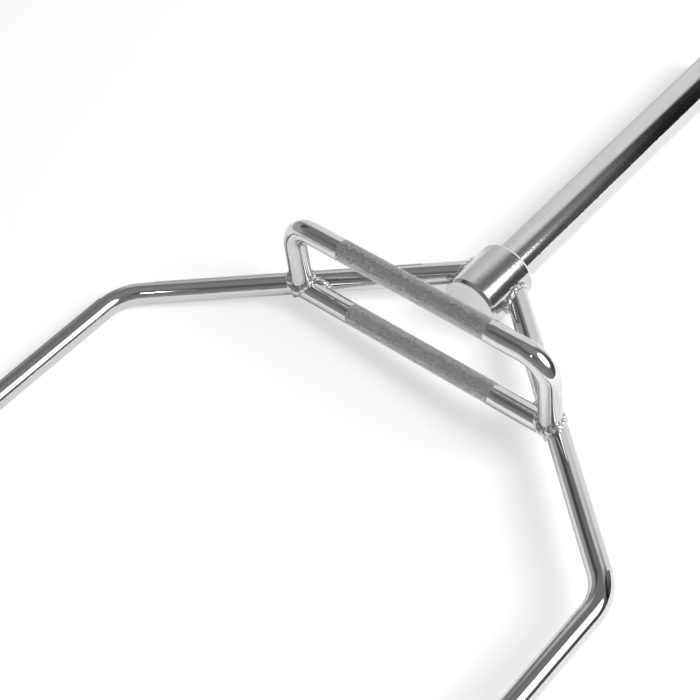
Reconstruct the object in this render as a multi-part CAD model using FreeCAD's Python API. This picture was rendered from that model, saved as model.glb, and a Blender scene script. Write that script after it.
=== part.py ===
import FreeCAD, Part
import math
import os

# Hex trap bar: a six-sided walk-in frame with a plate sleeve at each end and two pairs of grips.
# X runs along the sleeves, Y across the frame, Z up. The origin is the middle of the frame,
# on the level where the two collars touch the floor. All sizes are in millimetres.

Vector = FreeCAD.Vector

# Frame rails: one bent tube on each side, welded to both collars
handle_spacing = 640.0      # from grip axis to grip axis, along X
apex_reach = 160.0          # from a grip axis out to where the two rail axes would meet
corner_reach = 137.0        # from a grip axis in to the sharp corner of a rail axis
rail_offset = 346.0         # from the bar's middle to the axis of a long side
rail_d = 26.0
rail_wall = 4.0
rail_bend_r = 60.0          # at the axis of the tube
rear_seam = 0.0             # where the seam line of the rear tube lies, in degrees round it
front_seam = 37.0           # and that of the front tube

# Grips: a straight one in the frame's plane and a raised one above it
grip_d = 26.0
grip_wall = 4.0
raised_rise = 103.0         # raised grip axis above the frame's plane
leg_spacing = 356.0         # between the axes of one raised grip's legs
raised_bend_r = 32.0        # at the axis of the tube
leg_seat = 5.0              # lower end of a leg above the frame's plane

# Collars: turned blocks that join rails and sleeve and stop the plates
collar_d = 72.0
collar_length = 72.5
collar_setback = 0.5        # from the apex in to the collar's outer face
collar_bevel_length = 4.5   # bevel of the inner edge, along X
collar_bevel_depth = 2.0    # and across
collar_rim_length = 3.0     # bevel of the outer edge, along X
collar_rim_depth = 1.6      # and across
collar_floor = 12.0         # closed inner end, behind the sleeve

# Sleeves: tubes with a thinner end that sits in the collar, closed by a cap at the far end
sleeve_d = 50.0
sleeve_wall = 5.0
sleeve_length = 460.0       # from the collar's outer face to the end of the bar
spigot_step = 1.0           # from the sleeve's surface in to that of its thinner end
spigot_clearance = 0.1      # round the thinner end in the collar's bore

# Sleeve caps
cap_thickness = 6.0
cap_step = 0.5              # cap's rim inside the sleeve's surface
cap_bevel = 2.0
cap_plug_length = 20.0
cap_clearance = 0.1         # round the plug in the sleeve

# Weld beads: overlapping lumps of one radius along each joint
collar_bead = 4.8
grip_bead = 4.8
leg_bead = 4.8
bead_step_share = 1.25      # step from lump to lump, in bead radii
bead_lift_share = 0.2       # middle of a lump out of the corner, in bead radii
loop_points = 240           # points round a joint when its length is measured

overrun = 30.0              # length by which cutters pass what they cut

# Places that follow from the sizes
rail_r = rail_d / 2
grip_r = grip_d / 2
collar_r = collar_d / 2
sleeve_r = sleeve_d / 2
spigot_r = sleeve_r - spigot_step
frame_z = collar_r
handle_x = handle_spacing / 2
apex_x = handle_x + apex_reach
corner_x = handle_x - corner_reach
collar_out_x = apex_x - collar_setback
collar_in_x = collar_out_x - collar_length
end_x = collar_out_x + sleeve_length
leg_y = leg_spacing / 2
raised_z = frame_z + raised_rise
rail_slope = rail_offset / (apex_x - corner_x)
rail_angle = math.atan(rail_slope)
middle = Vector(0, 0, frame_z)
along = Vector(1, 0, 0)
across = Vector(0, 1, 0)
upward = Vector(0, 0, 1)


def rounded_path(points, radius):
    # straight runs joined by tangent arcs of one radius
    edges = []
    start = points[0]
    for before, corner, after in zip(points, points[1:], points[2:]):
        back = (before - corner).normalize()
        ahead = (after - corner).normalize()
        half = back.getAngle(ahead) / 2
        reach = radius / math.tan(half)
        inward = (back + ahead).normalize()
        into = corner + back * reach
        out = corner + ahead * reach
        top = corner + inward * (radius / math.sin(half) - radius)
        edges.append(Part.LineSegment(start, into).toShape())
        edges.append(Part.Arc(into, top, out).toShape())
        start = out
    edges.append(Part.LineSegment(start, points[-1]).toShape())
    return Part.Wire(edges)


def swept(path, first, second, radius, seam=0):
    # round bar of one radius along a path that starts at first towards second
    ring = Part.Circle(first, second - first, radius).toShape()
    ring.rotate(first, second - first, seam)
    return path.makePipeShell([Part.Wire([ring])], True, True)


def turned(outline):
    # solid of revolution round the sleeve axis from (x, radius) points
    corners = [Vector(x, 0, frame_z + r) for x, r in outline]
    face = Part.Face(Part.makePolygon(corners + corners[:1]))
    return face.revolve(middle, along, 360)


def rod(start, direction, length, radius):
    return Part.makeCylinder(radius, length, start, direction)


def weld(loop, radius, joined):
    # lumps evenly spaced along a closed loop, trimmed to the pieces that they join
    steps = [loop[i] - loop[i - 1] for i in range(len(loop))]
    length = sum(step.Length for step in steps)
    count = math.ceil(length / (radius * bead_step_share))
    lumps = []
    passed = 0
    for point, step in zip(loop, steps):
        passed += step.Length
        if passed * count >= length * len(lumps):
            lumps.append(Part.makeSphere(radius, point, step))
    return lumps[0].multiFuse(lumps[1:]).cut(joined)


def rail_y(x):
    # rail axis of the right rear diagonal
    return (apex_x - x) * rail_slope


turns = [2 * math.pi * i / loop_points for i in range(loop_points)]

# Path of the rear rail's axis
rail_points = [Vector(apex_x, 0, frame_z), Vector(corner_x, rail_offset, frame_z)]
rail_points += [Vector(-corner_x, rail_offset, frame_z), Vector(-apex_x, 0, frame_z)]
rail_path = rounded_path(rail_points, rail_bend_r)

# The straight run of each right diagonal, which shapes what is welded to it
apex = Vector(apex_x, 0, frame_z)
diagonal = Vector(-math.cos(rail_angle), math.sin(rail_angle), 0)
rear_run = rod(apex, diagonal, (apex_x - corner_x) / math.cos(rail_angle), rail_r)
front_run = rear_run.mirror(middle, across)

# Collars with a blind bore for the sleeve, bevelled at its mouth
collar_outline = [
    (collar_in_x, 0),
    (collar_in_x, collar_r - collar_bevel_depth),
    (collar_in_x + collar_bevel_length, collar_r),
    (collar_out_x - collar_rim_length, collar_r),
    (collar_out_x, collar_r - collar_rim_depth),
    (collar_out_x, sleeve_r + spigot_clearance),
    (collar_out_x - spigot_step, spigot_r + spigot_clearance),
    (collar_in_x + collar_floor, spigot_r + spigot_clearance),
    (collar_in_x + collar_floor, 0),
]
right_collar = turned(collar_outline)
collar_start = Vector(collar_in_x - overrun, 0, frame_z)
right_block = rod(collar_start, along, collar_length + 2 * overrun, collar_r)
left_block = right_block.mirror(middle, along)

# Sleeves and their caps
sleeve_in_x = collar_in_x + collar_floor
sleeve_out_x = end_x - cap_thickness
bore_r = sleeve_r - sleeve_wall
right_sleeve = turned([
    (sleeve_in_x, bore_r),
    (sleeve_in_x, spigot_r),
    (collar_out_x, spigot_r),
    (collar_out_x, sleeve_r),
    (sleeve_out_x, sleeve_r),
    (sleeve_out_x, bore_r),
])
right_cap = turned([
    (sleeve_out_x - cap_plug_length, 0),
    (sleeve_out_x - cap_plug_length, bore_r - cap_clearance),
    (sleeve_out_x, bore_r - cap_clearance),
    (sleeve_out_x, sleeve_r - cap_step),
    (end_x - cap_bevel, sleeve_r - cap_step),
    (end_x, sleeve_r - cap_step - cap_bevel),
    (end_x, 0),
])

# Low grip: a straight tube shaped to both diagonals
low_reach = rail_y(handle_x)
low_start = Vector(handle_x, -low_reach, frame_z)
low_bar = rod(low_start, across, 2 * low_reach, grip_r)
low_core = rod(low_start, across, 2 * low_reach, grip_r - grip_wall)
right_low = low_bar.cut([low_core, rear_run, front_run])

# Raised grip: a tube bent down at both ends, shaped to the low grip and the diagonals
foot_z = frame_z + leg_seat
raised_points = [Vector(handle_x, leg_y, foot_z), Vector(handle_x, leg_y, raised_z)]
raised_points += [Vector(handle_x, -leg_y, raised_z), Vector(handle_x, -leg_y, foot_z)]
raised_path = rounded_path(raised_points, raised_bend_r)
raised_bar = swept(raised_path, raised_points[0], raised_points[1], grip_r)
raised_core = swept(raised_path, raised_points[0], raised_points[1], grip_r - grip_wall)
right_raised = raised_bar.cut([raised_core, low_bar, rear_run, front_run])

# Rails: bent tubes, shaped to the collars
rails = []
for seam in (rear_seam, front_seam):
    bar = swept(rail_path, rail_points[0], rail_points[1], rail_r, seam)
    core = swept(rail_path, rail_points[0], rail_points[1], rail_r - rail_wall, seam)
    rails.append(bar.cut([core, right_block, left_block]))

# Weld between the right collar and the rear rail: the loop where the two cylinders meet
sideways = Vector(math.sin(rail_angle), math.cos(rail_angle), 0)
lift = collar_bead * bead_lift_share
loop = []
for turn in turns:
    up = (rail_r + lift) * math.sin(turn)
    side = (rail_r + lift) * math.cos(turn)
    outward = math.sqrt((collar_r + lift) ** 2 - up ** 2)
    run = (outward - side * math.cos(rail_angle)) / math.sin(rail_angle)
    loop.append(apex + diagonal * run + sideways * side + upward * up)
collar_weld = weld(loop, collar_bead, [right_block, rear_run])

# Weld round the foot of a leg, which stands on the low grip and on the rear rail
leg_bar = rod(Vector(handle_x, leg_y, frame_z), upward, raised_rise, grip_r)
lift = leg_bead * bead_lift_share
loop = []
for turn in turns:
    aside = (grip_r + lift) * math.cos(turn)
    reach = leg_y + (grip_r + lift) * math.sin(turn)
    from_rail = (rail_y(handle_x + aside) - reach) * math.cos(rail_angle)
    on_rail = math.sqrt(max(rail_r ** 2 - from_rail ** 2, 0))
    on_grip = math.sqrt(max(grip_r ** 2 - aside ** 2, 0))
    if from_rail < 0:
        on_grip = 0
    height = max(on_rail, on_grip, leg_seat) + lift
    loop.append(Vector(handle_x + aside, reach, frame_z + height))
leg_weld = weld(loop, leg_bead, [low_bar, rear_run, leg_bar])

# Weld between the low grip and the rear rail, up to the weld of the leg
lift = grip_bead * bead_lift_share
loop = []
for turn in turns:
    aside = (grip_r + lift) * math.cos(turn)
    up = (grip_r + lift) * math.sin(turn)
    gap = math.sqrt(max((rail_r + lift) ** 2 - up ** 2, 0)) / math.cos(rail_angle)
    loop.append(Vector(handle_x + aside, rail_y(handle_x + aside) - gap, frame_z + up))
grip_weld = weld(loop, grip_bead, [low_bar, rear_run, leg_bar, leg_weld])

nodes = {"rear_rail": rails[0], "front_rail": rails[1].rotated(middle, upward, 180)}
right_end = {
    "collar": right_collar,
    "sleeve": right_sleeve,
    "sleeve_cap": right_cap,
    "low_grip": right_low,
    "raised_grip": right_raised,
}
rear_corner = {"collar_weld": collar_weld, "grip_weld": grip_weld, "leg_weld": leg_weld}
for name, shape in rear_corner.items():
    right_end["rear_" + name] = shape
    right_end["front_" + name] = shape.mirror(middle, across)
for name, shape in right_end.items():
    nodes["right_" + name] = shape
    nodes["left_" + name] = shape.mirror(middle, along)

os.makedirs("parts", exist_ok=True)
for name, shape in nodes.items():
    solid = max(shape.Solids, key=lambda piece: piece.Volume)
    solid.exportStep("parts/" + name + ".step")
    print(name, len(shape.Solids), round(solid.Volume), solid.isValid())
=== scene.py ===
import math
import bpy
import numpy as np
from mathutils import Matrix, Vector


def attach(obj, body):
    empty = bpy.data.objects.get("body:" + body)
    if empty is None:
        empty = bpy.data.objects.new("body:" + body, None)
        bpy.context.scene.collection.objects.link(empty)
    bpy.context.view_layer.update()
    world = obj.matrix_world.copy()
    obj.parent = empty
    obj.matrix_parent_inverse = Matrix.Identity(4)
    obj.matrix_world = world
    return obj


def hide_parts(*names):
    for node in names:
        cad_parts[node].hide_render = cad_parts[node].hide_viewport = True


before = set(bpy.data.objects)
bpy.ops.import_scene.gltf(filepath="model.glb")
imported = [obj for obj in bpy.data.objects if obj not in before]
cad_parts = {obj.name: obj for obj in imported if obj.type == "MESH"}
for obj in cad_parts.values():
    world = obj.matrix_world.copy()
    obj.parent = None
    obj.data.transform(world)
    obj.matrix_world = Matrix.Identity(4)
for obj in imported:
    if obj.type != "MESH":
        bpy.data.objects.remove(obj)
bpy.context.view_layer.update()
print("frame loaded,", len(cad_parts), "nodes")

# the bar's own sizes in metres: X along the sleeves, Y across the frame, Z up
bar = {
    "axisZ": 0.036,      # sleeves, rails and low grips share this height
    "tubeR": 0.013,      # rails and grips
    "apexX": 0.480,      # where the axes of the two diagonals would meet
    "cornerX": 0.183,    # where a diagonal's axis would meet a long side's
    "railY": 0.346,      # axis of the long sides
    "gripX": 0.320,      # axis of the grips
    "topZ": 0.139,       # axis of the raised grips
    "legY": 0.178,       # axis of their legs
    "collarR": 0.036,
}
slant = math.atan2(bar["railY"], bar["apexX"] - bar["cornerX"])  # diagonals against the sleeves
sides = (("right", 1), ("left", -1))
halves = (("rear", 1), ("front", -1))
hubR = 0.002                    # innermost ring of a turned face, which a fan closes
crispAngle = math.radians(40)   # faces that meet at more than this keep a hard edge


def railAxisY(x):
    # straight line of the rear diagonal's axis, from the apex out to the corner
    return (bar["apexX"] - x) * math.tan(slant)


def ring(cols):
    # angles evenly round a tube
    return np.arange(cols) * (2 * math.pi / cols)


def cosOf(degrees):
    # cosine of an angle in degrees
    return math.cos(math.radians(degrees))


def sinOf(degrees):
    # sine of an angle in degrees
    return math.sin(math.radians(degrees))


def linked(name, data):
    # a new object at the origin, put into the scene
    made = bpy.data.objects.new(name, data)
    bpy.context.scene.collection.objects.link(made)
    return made


def skin(name, points, laid, loop=False, closed=(False, False), facets=None):
    # a grid of points, rows along the piece and columns round it, skinned with four-sided faces;
    # rows join up for a loop, a closed end gets a fan to the middle of its ring, and between the
    # facet rows each cell is split along its diamond's edge into two flat triangles
    rows, cols = points.shape[:2]
    index = np.arange(rows * cols).reshape(rows, cols)
    low = index if loop else index[:-1]
    high = np.roll(index, -1, 0) if loop else index[1:]
    cells = np.stack([low, np.roll(low, -1, 1), np.roll(high, -1, 1), high], -1)
    cut = np.zeros(len(cells), bool)
    if facets:
        cut[facets[0]:facets[1]] = True
    plain = cells[~cut].reshape(-1, 4)
    otherWay = np.add.outer(np.arange(cut.sum()) // 2, np.arange(cols) // 2) % 2 == 0
    split = np.where(otherWay[..., None], np.roll(cells[cut], -1, -1), cells[cut])
    flat = np.concatenate([split[..., [0, 1, 2]], split[..., [0, 2, 3]]]).reshape(-1, 3)
    verts, spots = points.reshape(-1, 3), laid.reshape(-1, 3)
    fans = []
    for end, row in ((0, index[0]), (1, index[-1])):
        if closed[end]:
            fan = np.stack([np.full(cols, len(verts)), np.roll(row, -1), row], -1)
            fans += (fan if end == 0 else fan[:, [0, 2, 1]]).tolist()
            verts = np.vstack([verts, points[-end].mean(0)])
            spots = np.vstack([spots, laid[-end].mean(0)])
    mesh = bpy.data.meshes.new(name)
    mesh.from_pydata(verts.tolist(), [], plain.tolist() + fans + flat.tolist())
    smooth = np.ones(len(mesh.polygons), bool)
    smooth[len(plain) + len(fans):] = False
    mesh.polygons.foreach_set("use_smooth", smooth)
    mesh.set_sharp_from_angle(angle=crispAngle)
    spotData = mesh.attributes.new("laid", "FLOAT_VECTOR", "POINT").data
    spotData.foreach_set("vector", spots.astype(np.float32).ravel())
    mesh.update()
    return linked(name, mesh)


def flipped(grid, side, half):
    # columns the other way round for a mirror image, the first one in its place, so that faces stay outward
    return np.roll(grid[:, ::-1], 1, 1) if side * half < 0 else grid


def fitted(name, node, slot, finish, points, laid=None, side=1, half=1, **shape):
    # the grid, mirrored to its own end and half of the bar, takes the place of its solid and rides with the
    # bar; a piece with no straightened form is its own laid grid
    points = flipped(points * np.array([side, half, 1.0]), side, half)
    laid = points if laid is None else flipped(laid, side, half)
    piece = skin(name, points, laid, **shape)
    piece.data.materials.append(finish)
    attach(piece, "root")
    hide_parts(node)


def bentTube(corners, normal, bendR, counts, bendRows, cut, radius, cols):
    # straight runs joined by tangent arcs of one radius in a plane; every row is a ring square to the path,
    # point = centre + radius * (cos * inward + sin * normal); the first and last rings are cut by the given
    # lengths, one for each column. Laid is the same ring on the straightened tube
    corners, normal = np.array(corners, float), np.array(normal, float)
    turn = ring(cols)
    steps = np.diff(corners, axis=0)
    spans = np.linalg.norm(steps, axis=1)
    ways = steps / spans[:, None]
    bends = np.arccos(np.clip((ways[:-1] * ways[1:]).sum(1), -1, 1))
    bends[bends < 1e-4] = 0    # runs in one line
    reach = np.concatenate([[0], bendR * np.tan(bends / 2), [0]])
    centres, inwards, along, starts = [], [], [], []
    passed, made = 0.0, 0
    for k, way in enumerate(ways):
        last = k == len(ways) - 1
        begin = reach[k] + (cut if k == 0 else 0 * turn)
        finish = spans[k] - reach[k + 1] - (cut if last else 0 * turn)
        share = np.arange(counts[k] + last)[:, None] / counts[k]
        at = begin + share * (finish - begin)
        inward = np.cross(normal, way)
        starts.append(made)
        made += len(at)
        centres.append(corners[k] + at[..., None] * way)
        inwards.append(np.broadcast_to(inward, centres[-1].shape))
        along.append(passed + at)
        passed += spans[k] - reach[k + 1]
        if not last and bends[k] > 0:
            angle = np.repeat((np.arange(bendRows) * bends[k] / bendRows)[:, None], cols, 1)
            swung = np.cos(angle)[..., None] * inward - np.sin(angle)[..., None] * way
            hub = corners[k] + (spans[k] - reach[k + 1]) * way + bendR * inward
            centres.append(hub - bendR * swung)
            inwards.append(swung)
            along.append(passed + bendR * angle)
            passed += bendR * bends[k]
            made += bendRows
        passed -= reach[k + 1]
    centres, inwards, along = np.concatenate(centres), np.concatenate(inwards), np.concatenate(along)
    radius = radius(along - passed / 2, starts) if callable(radius) else np.full(along.shape, radius)
    around = np.cos(turn)[:, None] * inwards + np.sin(turn)[:, None] * normal
    points = centres + radius[..., None] * around
    laid = np.stack([along - passed / 2, radius * np.cos(turn), radius * np.sin(turn)], -1)
    return points, laid, starts


def roundedProfile(corners, reach, loop=False, steps=6, largest=0.45):
    # a profile whose corners are eased by parabolas, (1-t)^2 a + 2t(1-t) p + t^2 b, with a and b reach away
    # from the corner, but never more than the largest share of a run
    p = np.array(corners, float)
    before, after = np.roll(p, 1, 0), np.roll(p, -1, 0)
    back, ahead = before - p, after - p
    backLen, aheadLen = np.linalg.norm(back, axis=1), np.linalg.norm(ahead, axis=1)
    easing = np.minimum(reach * np.ones(len(p)), largest * np.minimum(backLen, aheadLen))
    a = p + back * (easing / backLen)[:, None]
    b = p + ahead * (easing / aheadLen)[:, None]
    t = np.linspace(0, 1, steps)[None, :, None]
    eased = (1 - t) ** 2 * a[:, None] + 2 * t * (1 - t) * p[:, None] + t ** 2 * b[:, None]
    if loop:
        return supported(np.vstack([eased.reshape(-1, 2), eased[0, :1]]))[:-1]
    return supported(np.vstack([p[:1], eased[1:-1].reshape(-1, 2), p[-1:]]))


def supported(profile, near=0.0004):
    # extra points on each long run, start + share * run, two of them near its ends, which keeps the shading
    # straight
    run = np.diff(profile, axis=0)
    span = np.linalg.norm(run, axis=1)
    close = near / np.maximum(span, 4 * near)
    none = 0 * close
    share = np.stack([none, close, none + 0.25, none + 0.5, none + 0.75, 1 - close], 1)
    points = profile[:-1, None] + share[..., None] * run[:, None]
    return np.vstack([points[(share == 0) | (span > 4 * near)[:, None]], profile[-1:]])


def turned(profile, cols):
    # a profile of (x, radius) carried round the sleeve's axis
    turn = ring(cols)
    x, r = profile[:, :1], profile[:, 1:]
    points = np.stack([x + 0 * turn, r * np.cos(turn), bar["axisZ"] + r * np.sin(turn)], -1)
    laid = np.stack([x + 0 * turn, r * np.cos(turn), r * np.sin(turn)], -1)
    return points, laid


def greyOf(level):
    # a colour of one level
    return (level, level, level, 1)


class Sock:
    # an output in a node tree; sums on it add Math nodes, and node() adds any other kind
    def __init__(self, tree, socket=None):
        self.tree, self.socket = tree, socket

    def node(self, kind, settings=None, inputs=None, out=0):
        made = self.tree.nodes.new(kind)
        for key, value in (settings or {}).items():
            setattr(made, key, value)
        for key, value in (inputs or {}).items():
            if isinstance(value, Sock):
                self.tree.links.new(value.socket, made.inputs[key])
            else:
                made.inputs[key].default_value = value
        return Sock(self.tree, made.outputs[out] if len(made.outputs) else None)

    def sum(self, operation, *values):
        return self.node("ShaderNodeMath", {"operation": operation}, dict(enumerate(values)))

    def __add__(self, other):
        return self.sum("ADD", self, other)

    def __radd__(self, other):
        return self.sum("ADD", other, self)

    def __sub__(self, other):
        return self.sum("SUBTRACT", self, other)

    def __rsub__(self, other):
        return self.sum("SUBTRACT", other, self)

    def __mul__(self, other):
        return self.sum("MULTIPLY", self, other)

    def __rmul__(self, other):
        return self.sum("MULTIPLY", other, self)

    def __truediv__(self, other):
        return self.sum("DIVIDE", self, other)

    def __rtruediv__(self, other):
        return self.sum("DIVIDE", other, self)

    def __pow__(self, other):
        return self.sum("POWER", self, other)

    def __abs__(self):
        return self.sum("ABSOLUTE", self)

    def step(self, low, high):
        # 0 below low, 1 above high, smooth between; low above high turns it round
        return self.node("ShaderNodeMapRange", {"interpolation_type": "SMOOTHSTEP"},
                         {"Value": self, "From Min": low, "From Max": high})

    def noise(self, detail, rough):
        # noise over this vector as it is
        return self.node("ShaderNodeTexNoise", None,
                         {"Vector": self, "Scale": 1.0, "Detail": detail, "Roughness": rough})

    def grain(self, scale, detail=2.0, rough=0.5):
        # noise over this vector, stretched by a scale for each axis
        spread = self.node("ShaderNodeVectorMath", {"operation": "MULTIPLY"}, {0: self, 1: scale})
        return spread.noise(detail, rough)

    def part(self, axis):
        # one of this vector's three numbers
        return self.node("ShaderNodeSeparateXYZ", None, {0: self}, axis)

    def reach(self, first, second):
        # root of the sum of two parts squared: how far this vector is from the third axis
        return (self.part(first) ** 2.0 + self.part(second) ** 2.0) ** 0.5

    def circles(self, fine, coarse, detail=3.0, rough=0.5):
        # noise over (radius * fine, y * coarse, z * coarse), drawn out into circles round the tube's axis
        spun = {0: self.reach(1, 2) * fine, 1: self.part(1) * coarse, 2: self.part(2) * coarse}
        return self.node("ShaderNodeCombineXYZ", None, spun).noise(detail, rough)

    def shade(self, first, second):
        # a grey that goes from the first level to the second with this value; a Mix node has its colours
        # at places 6 and 7 and gives one at place 2
        return self.node("ShaderNodeMix", {"data_type": "RGBA"},
                         {0: self, 6: greyOf(first), 7: greyOf(second)}, 2)


def newMaterial(name):
    # a material with no nodes yet
    material = bpy.data.materials.new(name)
    material.use_nodes = True
    material.node_tree.nodes.clear()
    return material, Sock(material.node_tree)


def metal(base, colour, rough, height, bump):
    # plated metal: one Principled shader with a bump, and its output
    normal = base.node("ShaderNodeBump", None, {"Height": height, "Distance": bump, "Strength": 1.0})
    shader = base.node("ShaderNodeBsdfPrincipled", None,
                       {"Base Color": colour, "Roughness": rough, "Metallic": 1.0, "Normal": normal})
    base.node("ShaderNodeOutputMaterial", None, {"Surface": shader})


def glowing(base, colour):
    # a surface that only shines
    shader = base.node("ShaderNodeEmission", None, {"Color": colour, "Strength": 1.0})
    base.node("ShaderNodeOutputMaterial", None, {"Surface": shader})


def laidOf(base):
    # where a point lies on the straightened tube
    return base.node("ShaderNodeAttribute", {"attribute_name": "laid"}, None, "Vector")


def lookedAt(base, straight=1.0, reflected=1.0):
    # a share for what the camera sees straight, one for what it sees in the plate, and 0 for light on its way
    # to the floor
    rays = base.node("ShaderNodeLightPath").socket.node.outputs
    inPlate = Sock(base.tree, rays["Is Glossy Ray"]) + Sock(base.tree, rays["Is Transmission Ray"])
    seen = straight * Sock(base.tree, rays["Is Camera Ray"]) + reflected * inPlate
    return seen.sum("MINIMUM", seen, 1.0)


# in each piece's dictionary a grain holds its scale along and across the piece, its detail and its roughness,
# circles hold their scale outwards and round, and a pair named Steps holds the noise levels between which a
# mark comes up

# rails: bent tubes of bright chrome that end on the collars
rail = {
    "bendR": 0.060, "cols": 96, "rows": (10, 10, 10), "bendRows": 44,
    "dark": 0.62, "light": 0.69, "rough": 0.045, "bump": 3.2e-4,
    "cloud": ((9, 60, 60), 3), "smudge": 0.035, "smudgeSteps": (0.45, 0.75),
    "hair": ((14, 1500, 1500), 2), "hairRough": 0.02, "hairSteps": (0.6, 0.8), "hairBump": 0.01,
    "wave": ((16, 22, 22), 1),
}


def makeRailChrome():
    # clouds darken and dull the plate a little, hairlines run along it, slow waves bend what it mirrors
    material, base = newMaterial("railChrome")
    laid = laidOf(base)
    cloud = laid.grain(*rail["cloud"])
    hair = laid.grain(*rail["hair"])
    wave = laid.grain(*rail["wave"])
    rough = rail["rough"] + rail["smudge"] * cloud.step(*rail["smudgeSteps"])
    rough = rough + rail["hairRough"] * hair.step(*rail["hairSteps"])
    metal(base, cloud.shade(rail["light"], rail["dark"]), rough, wave + rail["hairBump"] * hair, rail["bump"])
    return material


# each ring's end is cut to the collar's wall
turn = ring(rail["cols"])
up, inside = bar["tubeR"] * np.sin(turn), bar["tubeR"] * np.cos(turn)
onCollar = (np.sqrt(bar["collarR"] ** 2 - up ** 2) + inside * math.cos(slant)) / math.sin(slant)
railCorners = [(s * x, y, bar["axisZ"]) for s, x, y in (
    (1, bar["apexX"], 0), (1, bar["cornerX"], bar["railY"]),
    (-1, bar["cornerX"], bar["railY"]), (-1, bar["apexX"], 0))]
points, laid = bentTube(railCorners, (0, 0, 1), rail["bendR"], rail["rows"], rail["bendRows"],
                        onCollar, bar["tubeR"], rail["cols"])[:2]
railChrome = makeRailChrome()
for half, way in halves:
    fitted(half + "Rail", half + "_rail", "rail", railChrome, points, laid, half=way, closed=(True, True))
print("rails:", points.shape[0] * points.shape[1], "points each")

# collars: turned blocks, closed and bevelled towards the lifter, with a satin inner face lightened by a
# painted reflection and a bright rim made by a painted highlight
collar = {
    "inX": 0.407, "outX": 0.4795, "bevelLong": 0.0045, "bevelDeep": 0.002,
    "rimLong": 0.003, "rimDeep": 0.0016, "mouthR": 0.0251, "mouthDeep": 0.001,
    "boreR": 0.0241, "floorX": 0.419, "ease": 0.00025, "cols": 128,
    "dark": 0.55, "light": 0.70, "rough": 0.10, "bump": 1e-4,
    # the two lifts below are painted light: a reflection on the face and a highlight on the rim
    "satin": 0.34, "paintedFaceReflection": 0.13, "faceEnds": (0.40742, 0.40702),    # X where the satin ends and is full
    "paintedRimHighlight": 0.22, "rimStarts": (0.4764, 0.4768),
    "groove": ((420, 10, 10), 3, 0.7), "grooveShare": 0.4, "peel": ((280, 150, 150), 3), "peelShare": 0.6,
    "circles": (1400.0, 18.0), "markRough": 0.06, "markSteps": (0.5, 0.8), "markShare": 0.6,
    "cloud": ((40, 40, 40), 3), "cloudRough": 0.08, "cloudSteps": (0.45, 0.75), "cloudShare": 0.4,
}


def makeCollarChrome():
    # grooves run round the wall, circles round the satin face; marks and clouds darken both; a painted
    # reflection lightens the face and a painted highlight the rim
    material, base = newMaterial("collarChrome")
    laid = laidOf(base)
    face = abs(laid.part(0)).step(*collar["faceEnds"])
    rim = abs(laid.part(0)).step(*collar["rimStarts"])
    wall = collar["grooveShare"] * laid.grain(*collar["groove"])
    wall = wall + collar["peelShare"] * laid.grain(*collar["peel"])
    marks = wall * (1 - face) + laid.circles(*collar["circles"]) * face
    cloud = laid.grain(*collar["cloud"])
    rough = collar["rough"] + (collar["satin"] - collar["rough"]) * face
    rough = rough + collar["cloudRough"] * cloud.step(*collar["cloudSteps"])
    rough = rough + collar["markRough"] * marks.step(*collar["markSteps"])
    darker = collar["markShare"] * marks + collar["cloudShare"] * cloud
    grey = collar["light"] - (collar["light"] - collar["dark"]) * darker
    # painted reflection of the pale floor lightens the face, and a painted highlight lightens the rim
    grey = grey + collar["paintedFaceReflection"] * face + collar["paintedRimHighlight"] * rim
    metal(base, grey.shade(0.0, 1.0), rough, marks, collar["bump"])
    return material


points, laid = turned(roundedProfile([
    (collar["inX"], hubR),
    (collar["inX"], bar["collarR"] - collar["bevelDeep"]),
    (collar["inX"] + collar["bevelLong"], bar["collarR"]),
    (collar["outX"] - collar["rimLong"], bar["collarR"]),
    (collar["outX"], bar["collarR"] - collar["rimDeep"]),
    (collar["outX"], collar["mouthR"]),
    (collar["outX"] - collar["mouthDeep"], collar["boreR"]),
    (collar["floorX"], collar["boreR"]),
    (collar["floorX"], hubR),
], collar["ease"]), collar["cols"])
collarChrome = makeCollarChrome()
for end, side in sides:
    fitted(end + "Collar", end + "_collar", "collar", collarChrome, points, laid, side, closed=(True, True))

# plate sleeves: tubes with a thinner end in the collar, drawn lengthwise by plates
sleeve = {
    "inX": 0.419, "seatX": 0.4795, "outX": 0.9335, "outerR": 0.025, "seatR": 0.024, "boreR": 0.020,
    "ease": 0.0003, "cols": 128,
    "dark": 0.56, "light": 0.74, "rough": 0.065, "bump": 6e-5,
    "cloud": ((7, 30, 30), 3), "cloudSteps": (0.35, 0.6), "cloudShare": 0.5,
    "streak": ((9, 420, 420), 3), "scratch": 0.12, "scratchSteps": (0.56, 0.72), "scratchShare": 0.5,
    "hair": ((22, 1900, 1900), 2), "hairRough": 0.03, "hairSteps": (0.55, 0.75), "hairBump": 0.3,
    "peel": ((300, 520, 520), 2, 0.6),
}


def makeSleeveChrome():
    # lengthwise streaks become scratches inside the clouds; the plate's own peel breaks up what it mirrors
    material, base = newMaterial("sleeveChrome")
    laid = laidOf(base)
    cloud = laid.grain(*sleeve["cloud"])
    streak = laid.grain(*sleeve["streak"])
    hair = laid.grain(*sleeve["hair"])
    peel = laid.grain(*sleeve["peel"])
    scratch = streak.step(*sleeve["scratchSteps"])
    rough = sleeve["rough"] + sleeve["scratch"] * scratch * cloud.step(*sleeve["cloudSteps"])
    rough = rough + sleeve["hairRough"] * hair.step(*sleeve["hairSteps"])
    darker = sleeve["scratchShare"] * scratch + sleeve["cloudShare"] * cloud
    metal(base, darker.shade(sleeve["light"], sleeve["dark"]), rough,
          streak + sleeve["hairBump"] * hair + peel, sleeve["bump"])
    return material


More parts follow.
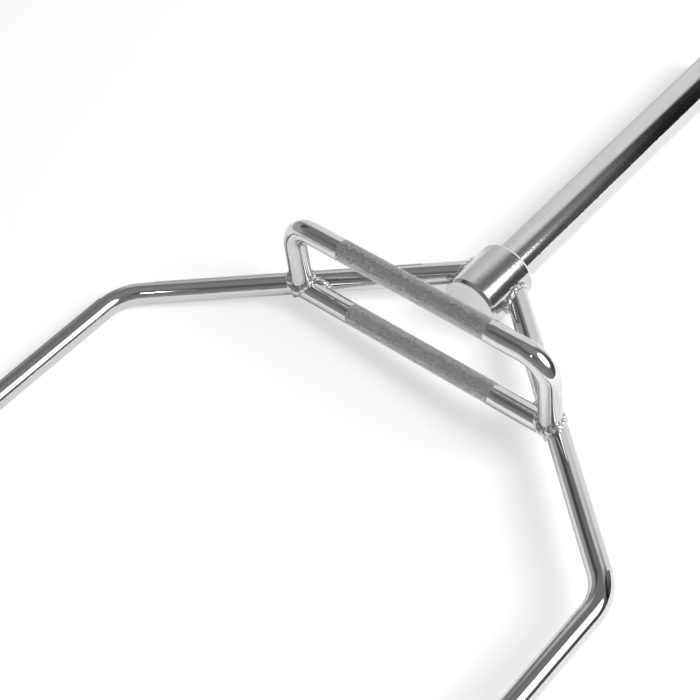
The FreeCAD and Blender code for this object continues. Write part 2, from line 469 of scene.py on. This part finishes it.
points, laid = turned(roundedProfile([
    (sleeve["inX"], sleeve["boreR"]),
    (sleeve["inX"], sleeve["seatR"]),
    (sleeve["seatX"], sleeve["seatR"]),
    (sleeve["seatX"], sleeve["outerR"]),
    (sleeve["outX"], sleeve["outerR"]),
    (sleeve["outX"], sleeve["boreR"]),
], sleeve["ease"], loop=True), sleeve["cols"])
sleeveChrome = makeSleeveChrome()
for end, side in sides:
    fitted(end + "Sleeve", end + "_sleeve", "sleeve", sleeveChrome, points, laid, side, loop=True)

# sleeve caps: a bevelled head, faced with fine circles, and the plug behind it
cap = {
    "plugX": 0.9135, "headX": 0.9335, "endX": 0.9395, "plugR": 0.0199, "headR": 0.0245, "bevel": 0.002,
    "ease": 0.0005, "cols": 128,
    "dark": 0.55, "light": 0.68, "rough": 0.16, "bump": 2e-5,
    "circles": (1800.0, 15.0), "circleShare": 0.5,
    "cloud": ((50, 50, 50), 3), "cloudRough": 0.12, "cloudSteps": (0.4, 0.75), "cloudShare": 0.5,
}


def makeCapChrome():
    # circles and clouds darken the face, clouds dull it
    material, base = newMaterial("capChrome")
    laid = laidOf(base)
    circles = laid.circles(*cap["circles"])
    cloud = laid.grain(*cap["cloud"])
    rough = cap["rough"] + cap["cloudRough"] * cloud.step(*cap["cloudSteps"])
    darker = cap["circleShare"] * circles + cap["cloudShare"] * cloud
    metal(base, darker.shade(cap["light"], cap["dark"]), rough, circles, cap["bump"])
    return material


points, laid = turned(roundedProfile([
    (cap["plugX"], hubR),
    (cap["plugX"], cap["plugR"]),
    (cap["headX"], cap["plugR"]),
    (cap["headX"], cap["headR"]),
    (cap["endX"] - cap["bevel"], cap["headR"]),
    (cap["endX"], cap["headR"] - cap["bevel"]),
    (cap["endX"], hubR),
], cap["ease"]), cap["cols"])
capChrome = makeCapChrome()
for end, side in sides:
    fitted(end + "SleeveCap", end + "_sleeve_cap", "cap", capChrome, points, laid, side, closed=(True, True))
print("collars, sleeves and caps turned")

# grips: bright ends, and a duller knurl of diamonds with flat tops, four rows and four columns to each, with
# painted shade in its valleys and painted glints on its tops
grip = {
    "knurlHalf": 0.1020, "knurlDeep": 0.00037, "uneven": 0.15, "cols": 184, "knurlRows": 280,
    "dark": 0.45, "light": 0.79, "rough": 0.05, "bump": 1e-5,
    "knurlFade": 0.0002, "knurlRough": 0.15, "valleyRough": 0.05, "paintedShadeOnTops": 0.10,
    "cloud": ((30, 60, 60), 4, 0.6), "wearSteps": (0.35, 0.7), "wearRough": 0.03, "knurlWearRough": 0.06,
    "endGrey": 0.15, "endWearGrey": 0.10,
    "hair": ((14, 1500, 1500), 2), "hairBump": 0.5,
    "fine": ((700, 700, 700), 1), "fineShare": 0.7, "patch": ((300, 340, 340), 2), "patchShare": 0.3,
    # painted glints: the grey is multiplied by the first number and lowered by the second where a glint
    # lights a top
    "paintedGlintSteps": (0.38, 0.62), "paintedGlintGrey": (1.15, 0.75),    # most, and how much less on a spark
}


def makeGripChrome():
    # on the knurl painted shade darkens the valleys and painted glints light single tops at random, which
    # also grains it; the ends are bright and a little worn
    material, base = newMaterial("gripChrome")
    laid = laidOf(base)
    knurlEnd, fade = grip["knurlHalf"], grip["knurlFade"]
    knurl = abs(laid.part(0)).step(knurlEnd + fade, knurlEnd - fade)
    top = laid.reach(1, 2).step(bar["tubeR"] - grip["knurlDeep"], bar["tubeR"])    # 0 in the valleys
    cloud = laid.grain(*grip["cloud"])
    hair = laid.grain(*grip["hair"])
    wear = cloud.step(*grip["wearSteps"])
    # painted glints: fine noise lightens scattered tops
    paintedGlint = grip["fineShare"] * laid.grain(*grip["fine"]) + grip["patchShare"] * laid.grain(*grip["patch"])
    paintedGlint = paintedGlint.step(*grip["paintedGlintSteps"])
    onKnurl = grip["knurlRough"] + grip["valleyRough"] * (1 - top) + grip["knurlWearRough"] * wear
    rough = grip["rough"] + grip["wearRough"] * wear + knurl * onKnurl
    # painted shade: the colour darkens from the tops down into the valleys
    grey = knurl * (grip["paintedShadeOnTops"] + (1 - grip["paintedShadeOnTops"]) * (1 - top))
    grey = grey * (grip["paintedGlintGrey"][0] - grip["paintedGlintGrey"][1] * paintedGlint)
    grey = grey + (grip["endGrey"] + grip["endWearGrey"] * wear) * (1 - knurl)
    metal(base, grey.shade(grip["light"], grip["dark"]), rough, grip["hairBump"] * hair + cloud, grip["bump"])
    return material


def knurled(band):
    # level = distance to the nearer of two sets of slanting valleys, cut off at 1;
    # radius = tube radius - depth * (1 - level, and a little more where a top is worn)
    def radius(along, starts):
        first, last = starts[band], starts[band + 1]
        r = np.full(along.shape, bar["tubeR"])
        u, v = np.arange(last - first)[:, None], np.arange(along.shape[1])
        level = np.minimum(abs((u + v) % 4 - 2), abs((u - v) % 4 - 2)).clip(0, 1)
        worn = np.random.default_rng(band).random(level.shape) * grip["uneven"]
        r[first:last] -= grip["knurlDeep"] * (1 - level + worn * level)
        r[first] = bar["tubeR"]
        return r
    return radius


gripChrome = makeGripChrome()

# low grips: straight tubes between the diagonals, their ends cut to the diagonals' walls
lowGrip = {"rows": (10, grip["knurlRows"], 10), "knurlRun": 1}
turn = ring(grip["cols"])
aside, up = -bar["tubeR"] * np.cos(turn), bar["tubeR"] * np.sin(turn)
reachY = railAxisY(bar["gripX"])
toWall = np.sqrt(np.maximum(bar["tubeR"] ** 2 - up ** 2, 0)) / math.cos(slant)
endCut = reachY - railAxisY(bar["gripX"] + aside) + toWall
stations = (-reachY, -grip["knurlHalf"], grip["knurlHalf"], reachY)
points, laid, starts = bentTube([(bar["gripX"], y, bar["axisZ"]) for y in stations], (0, 0, 1), 0.0,
                                lowGrip["rows"], 0, endCut, knurled(lowGrip["knurlRun"]), grip["cols"])
facets = starts[lowGrip["knurlRun"]:][:2]
for end, side in sides:
    fitted(end + "LowGrip", end + "_low_grip", "grip", gripChrome, points, laid, side,
           closed=(True, True), facets=facets)

# raised grips: bent down at both ends onto low grip and diagonal
raisedGrip = {"bendR": 0.032, "rows": (8, 6, grip["knurlRows"], 6, 8), "bendRows": 32, "knurlRun": 2,
              "seat": 0.005}    # least height of a leg's foot over the axis of the tubes


def footHeight(aside, across):
    # where a leg's wall meets the diagonal or the low grip, whichever is higher:
    # root of the tube's radius squared - the distance to that tube's axis squared
    fromRail = (railAxisY(bar["gripX"] + aside) - bar["legY"] - across) * math.cos(slant)
    onRail = np.sqrt(np.maximum(bar["tubeR"] ** 2 - fromRail ** 2, 0))
    onGrip = np.sqrt(np.maximum(bar["tubeR"] ** 2 - aside ** 2, 0)) * (fromRail >= 0)
    return np.maximum(np.maximum(onRail, onGrip), raisedGrip["seat"])


footCut = footHeight(bar["tubeR"] * np.sin(turn), -bar["tubeR"] * np.cos(turn))
stations = [(bar["legY"], bar["axisZ"]), (bar["legY"], bar["topZ"])]
stations += [(grip["knurlHalf"], bar["topZ"]), (-grip["knurlHalf"], bar["topZ"])]
stations += [(-bar["legY"], bar["topZ"]), (-bar["legY"], bar["axisZ"])]
points, laid, starts = bentTube([(bar["gripX"], y, z) for y, z in stations], (1, 0, 0), raisedGrip["bendR"],
                                raisedGrip["rows"], raisedGrip["bendRows"], footCut,
                                knurled(raisedGrip["knurlRun"]), grip["cols"])
facets = starts[raisedGrip["knurlRun"]:][:2]
for end, side in sides:
    fitted(end + "RaisedGrip", end + "_raised_grip", "grip", gripChrome, points, laid, side,
           closed=(True, True), facets=facets)
print("grips knurled:", 2 * grip["knurlRows"] * grip["cols"], "facets each")

# weld beads: a row of uneven lumps along each joint, under the plate
bead = {
    "radius": 0.0048, "lift": 0.2, "steps": 360, "cols": 22,
    "pitch": 1.7, "fewest": 5, "overlap": 0.66, "body": 0.94,    # pitch of the balls in radii
    "uneven": 0.07, "shuffle": 2.4, "phaseShuffle": 5, "endPhase": 0.37, "halfPhase": 0.61,
    "drift": 0.25, "driftWaves": 4, "skew": 0.2, "skewFrom": 0.8,
    # the beads' plate is lighter than the tubes': a painted sheen that stands in for their many glints
    "dark": 0.62, "light": 0.88, "rough": 0.19, "bump": 1.6e-4,
    "cloud": ((350, 350, 350), 3), "cloudRough": 0.12, "cloudSteps": (0.4, 0.7),
    "pits": ((1100, 1100, 1100), 2), "pitRough": 0.08, "pitSteps": (0.55, 0.75), "pitBump": 0.35,
}


def makeWeldChrome():
    # clouds darken and dull the plate, pits roughen it; the plate is lighter than on the tubes, a painted
    # sheen
    material, base = newMaterial("weldChrome")
    laid = laidOf(base)
    cloud = laid.grain(*bead["cloud"])
    pits = laid.grain(*bead["pits"])
    rough = bead["rough"] + bead["cloudRough"] * cloud.step(*bead["cloudSteps"])
    rough = rough + bead["pitRough"] * pits.step(*bead["pitSteps"])
    metal(base, cloud.shade(bead["light"], bead["dark"]), rough, cloud + bead["pitBump"] * pits, bead["bump"])
    return material


def beadRing(path, phase, fat, calm):
    # a ring carried along a closed path and swelling like overlapping balls: radius * fat *
    # (root of 1 - (overlap * way from the ball's middle)^2, flatter where calm, + uneven * a size for each
    # ball); the balls drift along the path and lean a little across it
    ahead = np.roll(path, -1, 0) - np.roll(path, 1, 0)
    way = ahead / np.linalg.norm(ahead, axis=1)[:, None]
    away = path - path.mean(0)
    away -= (away * way).sum(1)[:, None] * way
    away /= np.linalg.norm(away, axis=1)[:, None]
    over = np.cross(way, away)
    turn = ring(bead["cols"])
    length = np.linalg.norm(np.roll(path, -1, 0) - path, axis=1).sum()
    balls = max(bead["fewest"], round(length / (bead["radius"] * bead["pitch"])))
    t = ring(len(path))[:, None]
    beat = balls * t / (2 * math.pi) + bead["drift"] * np.sin(bead["driftWaves"] * t + phase)
    beat = beat + bead["skew"] * np.cos(turn - bead["skewFrom"]) + phase
    dip = 1 - np.sqrt(1 - (bead["overlap"] * (2 * (beat % 1.0) - 1)) ** 2)
    uneven = np.sin(bead["shuffle"] * (np.floor(beat) % balls) ** 2 + bead["phaseShuffle"] * phase)
    size = bead["body"] - dip * (1 - calm)[:, None] + bead["uneven"] * uneven
    size = bead["radius"] * fat[:, None] * size
    around = np.cos(turn)[:, None] * away[:, None] + np.sin(turn)[:, None] * over[:, None]
    return path[:, None] + size[..., None] * around


# each path runs round a tube a little larger than the real one, where that meets its neighbour
turn = ring(bead["steps"])
lift = bead["lift"] * bead["radius"]
tubeR, collarR = bar["tubeR"] + lift, bar["collarR"] + lift
aside, up = tubeR * np.cos(turn), tubeR * np.sin(turn)
run = (np.sqrt(collarR ** 2 - up ** 2) - aside * math.cos(slant)) / math.sin(slant)
collarPath = np.stack([bar["apexX"] - run * math.cos(slant) + aside * math.sin(slant),
                       run * math.sin(slant) + aside * math.cos(slant), bar["axisZ"] + up], -1)
gap = np.sqrt(np.maximum(tubeR ** 2 - up ** 2, 0)) / math.cos(slant)
gripPath = np.stack([bar["gripX"] + aside, railAxisY(bar["gripX"] + aside) - gap, bar["axisZ"] + up], -1)
across = tubeR * np.sin(turn)
legPath = np.stack([bar["gripX"] + aside, bar["legY"] + across,
                    bar["axisZ"] + footHeight(aside, across) + lift], -1)
# beads are thin and calm on the open side of a slanting joint, full in its corner: a mean and a swing of each
beads = {
    "collar": {"path": collarPath, "fat": (0.75, -0.33), "calm": (0.4, 0.4), "swingFrom": 0.0},
    "grip": {"path": gripPath, "fat": (0.85, 0.25), "calm": (0.2, -0.2), "swingFrom": 0.0},
    "leg": {"path": legPath, "fat": (1.0, 0.15), "calm": (0.0, 0.0), "swingFrom": 0.75 * math.pi},
}
weldChrome = makeWeldChrome()
for number, (kind, joint) in enumerate(beads.items()):
    swing = np.cos(turn - joint["swingFrom"])
    fat, calm = (joint[name][0] + joint[name][1] * swing for name in ("fat", "calm"))
    for end, side in sides:
        for half, way in halves:
            phase = number + bead["endPhase"] * side + bead["halfPhase"] * way
            points = beadRing(joint["path"], phase, fat, calm)
            fitted(end + half.title() + kind.title() + "Weld", end + "_" + half + "_" + kind + "_weld",
                   "weld", weldChrome, points, None, side, way, loop=True)
print("weld beads laid")

# floor under the collars and the rear rail, on which the bar rests a little tilted; the camera sees it partly
# as plain white, and wholly so beyond the fade
floor = {
    "half": 2.4, "points": 9, "albedo": 0.82, "albedoInPlate": 0.76, "white": 0.56, "whiteInPlate": 0.06,
    "fadeFrom": 1.5, "fadeTo": 2.3,
}
tilt = math.asin((bar["collarR"] - bar["tubeR"]) / bar["railY"])


def makeFloor():
    # a square of two directions: X, and Y rising by the tilt, touching the collars from below
    rise = np.array([0.0, math.cos(tilt), math.sin(tilt)])
    normal = np.array([0.0, -math.sin(tilt), math.cos(tilt)])
    middle = np.array([0.0, 0.0, bar["axisZ"]]) - bar["collarR"] * normal
    span = np.linspace(-floor["half"], floor["half"], floor["points"])
    points = middle + span[None, :, None] * np.array([1.0, 0.0, 0.0]) + span[:, None, None] * rise
    index = np.arange(floor["points"] ** 2).reshape(floor["points"], floor["points"])
    faces = np.stack([index[:-1, :-1], index[:-1, 1:], index[1:, 1:], index[1:, :-1]], -1).reshape(-1, 4)
    mesh = bpy.data.meshes.new("floor")
    mesh.from_pydata(points.reshape(-1, 3).tolist(), [], faces.tolist())
    mesh.materials.append(makeFloorPaper())
    linked("floor", mesh)


def makeFloorPaper():
    # pale paper that takes the shadows, mixed with white for the camera, and clear from below
    material, base = newMaterial("floorPaper")
    glow = base.node("ShaderNodeEmission", None, {"Color": greyOf(1.0), "Strength": 1.0})
    grey = lookedAt(base, 0.0).shade(floor["albedo"], floor["albedoInPlate"])
    paper = base.node("ShaderNodeBsdfDiffuse", None, {"Color": grey})
    spot = base.node("ShaderNodeTexCoord", None, None, "Object")
    faded = spot.reach(0, 1).step(floor["fadeFrom"], floor["fadeTo"])
    white = lookedAt(base, floor["white"] + (1 - floor["white"]) * faded, floor["whiteInPlate"])
    both = base.node("ShaderNodeMixShader", None, {0: white, 1: paper, 2: glow})
    clear = base.node("ShaderNodeBsdfTransparent")
    under = base.node("ShaderNodeNewGeometry", None, None, "Backfacing")
    mixed = base.node("ShaderNodeMixShader", None, {0: under, 1: both, 2: clear})
    base.node("ShaderNodeOutputMaterial", None, {"Surface": mixed})
    return material


makeFloor()

# a round softbox at the right and a small lamp beside the camera show in the plate; the softbox and a farther
# lamp light the floor; angles in degrees
lamps = {
    "softbox": {"azimuth": 293.5, "rise": 42.5, "away": 3.2, "across": 2.42, "tall": 2.42, "level": 2.4,
                "inPlate": True, "onFloor": True},
    "cameraLamp": {"azimuth": 198.4, "rise": 48.6, "away": 3.8, "across": 0.13, "tall": 0.22, "level": 26.0,
                   "inPlate": True, "onFloor": False},
    "key": {"azimuth": 293.5, "rise": 42.5, "away": 6.0, "across": 3.6, "tall": 3.6, "level": 12.7,
            "inPlate": False, "onFloor": True},
}
lampAim = Vector((0.15, 0.0, 0.0))


def outwardOf(lamp):
    # direction from the bar to a lamp
    flat = cosOf(lamp["rise"])
    return Vector((flat * cosOf(lamp["azimuth"]), flat * sinOf(lamp["azimuth"]), sinOf(lamp["rise"])))


def placeOf(lamp):
    # where a lamp stands
    return lampAim + lamp["away"] * outwardOf(lamp)


# studio room: walls and ceiling that only the plate reflects, with a pale paper wall behind the bar;
# azimuths and heights are in degrees, and a pair named Fade holds where an edge begins and ends
room = {
    "radius": 4.0, "cols": 96, "rows": 48, "lowest": -6, "highest": 89.5, "wall": 0.22,
    "paper": 0.86, "paperEdge": 0.62,
    "paperAt": 12.0, "paperTop": 51.0, "paperLeft": 60.0, "paperRight": -10.0,
    "topFade": (-0.14, 0.12), "leftFade": (-0.03, 0.05), "edgeFade": (0.05, 0.33),
    "rightFade": (-0.10, 0.14), "rightLean": 0.18, "rightShift": 0.05,
    "ceiling": 0.07, "ceilingFade": (0.88, 0.96), "halo": 0.12, "haloFade": (0.84, 0.945),
    "deep": 0.84, "deepAt": (322, 31, 10), "deepTop": (55, 6),
    "deepFade": (0.69, 0.735), "deepEndFade": (0.83, 0.76),
}
# lighter and darker patches of the walls: azimuth, half width and softness, then top and, for some, foot,
# each with its softness
patches = {
    "left": {"at": (98, 28, 12), "top": (29, 5), "more": 0.20},
    "behind": {"at": (190, 60, 20), "top": (22, 12), "more": 0.08},
    "dark": {"at": (84, 14, 6), "top": (53, 5), "foot": (33, 4), "more": -0.13},
    "right": {"at": (312, 24, 10), "top": (32, 9), "more": -0.12},
    "beam": {"at": (175, 55, 15), "top": (66, 4), "foot": (43, 4), "more": -0.09},
}


def reflectedOnly(made):
    # the plate shows it, and it neither lights nor shades anything else
    for ray in ("camera", "diffuse", "transmission", "shadow", "volume_scatter"):
        setattr(made, "visible_" + ray, False)


def makeRoomWalls():
    # brightness by direction from the middle of the room
    material, base = newMaterial("roomWalls")
    spot = base.node("ShaderNodeTexCoord", None, None, "Object")
    way = base.node("ShaderNodeVectorMath", {"operation": "NORMALIZE"}, {0: spot})
    x, y, z = way.part(0), way.part(1), way.part(2)
    flat = (1.0001 - z * z) ** 0.5    # a hair over 1, so that the root is never of a negative number

    def facing(azimuth):
        # how far a direction points towards an azimuth
        return x * cosOf(azimuth) + y * sinOf(azimuth)

    def towards(azimuth, half, soft):
        # 1 inside a sector of azimuths
        return (facing(azimuth) / flat).step(cosOf(half + soft), cosOf(half - soft))

    def below(height, soft):
        # 1 under a height
        return z.step(sinOf(height + soft), sinOf(height - soft))

    # the paper wall ends at a level top edge and at two upright ones, and is duller towards the left one
    fromLeft = facing(room["paperLeft"] - 90)
    fromRight = facing(room["paperRight"] + 90) - room["rightLean"] * z + room["rightShift"]
    paper = (facing(room["paperAt"]) * math.tan(math.radians(room["paperTop"])) - z).step(*room["topFade"])
    paper = paper * fromLeft.step(*room["leftFade"])
    paper = paper * fromRight.step(*room["rightFade"])
    paperGlow = room["paperEdge"] + (room["paper"] - room["paperEdge"]) * fromLeft.step(*room["edgeFade"])
    # spill round the softbox
    softWay = placeOf(lamps["softbox"]).normalized()
    halo = (x * softWay[0] + y * softWay[1] + z * softWay[2]).step(*room["haloFade"]) ** 2.0
    glow = room["wall"] + room["ceiling"] * z.step(*room["ceilingFade"]) + room["halo"] * halo
    for patch in patches.values():
        shown = towards(*patch["at"]) * below(*patch["top"])
        if "foot" in patch:
            shown = shown * (1 - below(*patch["foot"]))
        glow = glow + patch["more"] * shown
    # a deep gap beside the softbox
    deep = x.step(*room["deepFade"]) * x.step(*room["deepEndFade"])
    deep = deep * towards(*room["deepAt"]) * below(*room["deepTop"])
    glow = glow * (1 - room["deep"] * deep)
    glowing(base, (glow + paper * (paperGlow - glow)).shade(0.0, 1.0))
    return material


def makeRoom():
    # a little more than half a sphere, radius * (cos rise cos azimuth, cos rise sin azimuth, sin rise)
    azimuth = ring(room["cols"])
    rise = np.radians(np.linspace(room["highest"], room["lowest"], room["rows"]))[:, None]
    flat = np.cos(rise)
    points = np.stack([flat * np.cos(azimuth), flat * np.sin(azimuth), np.sin(rise) + 0 * azimuth], -1)
    points = room["radius"] * points
    made = skin("room", points, points, closed=(True, False))
    made.data.materials.append(makeRoomWalls())
    reflectedOnly(made)


makeRoom()

# cards on edge beside the tubes, seen only in the plate, which draw a line along each tube's far edge: the
# grey ones are painted shade standing in for the shaded floor there, and the white front one paints light
# there instead
flagHeights = (-0.005, 0.060)    # Z of their feet and tops
shadeAndLightFlags = {
    "rear": {"from": (-0.30, 0.367), "to": (0.165, 0.367), "level": 0.33},
    "diagonal": {"from": (0.231, 0.340), "to": (0.439, 0.097), "level": 0.54},
    "front": {"from": (0.231, -0.340), "to": (0.439, -0.097), "level": 1.0},
    "sleeve": {"from": (0.50, 0.075), "to": (1.05, 0.075), "level": 0.70},
}


def makeFlag(name, flag):
    # an upright strip between two points on the ground
    low, high = flagHeights
    corners = [(*flag["from"], low), (*flag["to"], low), (*flag["to"], high), (*flag["from"], high)]
    mesh = bpy.data.meshes.new(name)
    mesh.from_pydata(corners, [], [(0, 1, 2, 3)])
    material, base = newMaterial(name)
    # one glowing grey: painted shade in the plate, or painted light where it is white
    glowing(base, greyOf(flag["level"]))
    mesh.materials.append(material)
    made = linked(name, mesh)
    reflectedOnly(made)


for name, flag in shadeAndLightFlags.items():
    makeFlag(name + "Flag", flag)


def makeLamp(name, lamp):
    # an oval area light of one brightness over its face: power = level * pi * area
    light = bpy.data.lights.new(name, "AREA")
    light.shape = "ELLIPSE"
    light.size, light.size_y = lamp["across"], lamp["tall"]
    light.energy = lamp["level"] * math.pi * math.pi * lamp["across"] * lamp["tall"] / 4
    made = linked(name, light)
    made.location = placeOf(lamp)
    made.rotation_mode = "QUATERNION"
    made.rotation_quaternion = outwardOf(lamp).to_track_quat("Z", "Y")
    made.visible_camera = False
    made.visible_glossy = lamp["inPlate"]
    made.visible_diffuse = lamp["onFloor"]


for name, lamp in lamps.items():
    makeLamp(name, lamp)

# world: white where it is seen, grey as a fill light
fillLevel = 0.40
world = bpy.data.worlds.new("studio")
bpy.context.scene.world = world
world.use_nodes = True
world.node_tree.nodes.clear()
base = Sock(world.node_tree)
seen = lookedAt(base).shade(fillLevel, 1.0)
sky = base.node("ShaderNodeBackground", None, {"Color": seen, "Strength": 1.0})
base.node("ShaderNodeOutputWorld", None, {"Surface": sky})
print("floor, room and lamps set")

# camera: fitted to the outlines in the photograph; focal length in pixels of a square frame
shot = {
    "at": (-0.55731, -0.84755, 1.41657), "to": (0.27708, 0.06764, 0.036), "roll": -0.15568,
    "focal": 1655.42, "frame": 700, "sensor": 36.0,
}
lens = bpy.data.cameras.new("camera")
lens.sensor_width = shot["sensor"]
lens.lens = shot["focal"] / shot["frame"] * shot["sensor"]
camera = linked("camera", lens)
ahead = (Vector(shot["to"]) - Vector(shot["at"])).normalized()
right = ahead.cross(Vector((0, 0, 1))).normalized()
down = ahead.cross(right)
cosRoll, sinRoll = math.cos(shot["roll"]), math.sin(shot["roll"])
right, down = cosRoll * right - sinRoll * down, sinRoll * right + cosRoll * down
camera.matrix_world = Matrix((right, -down, -ahead)).transposed().to_4x4()
camera.location = shot["at"]
bpy.context.scene.camera = camera
bpy.context.scene.view_settings.view_transform = "Standard"
print("camera set")
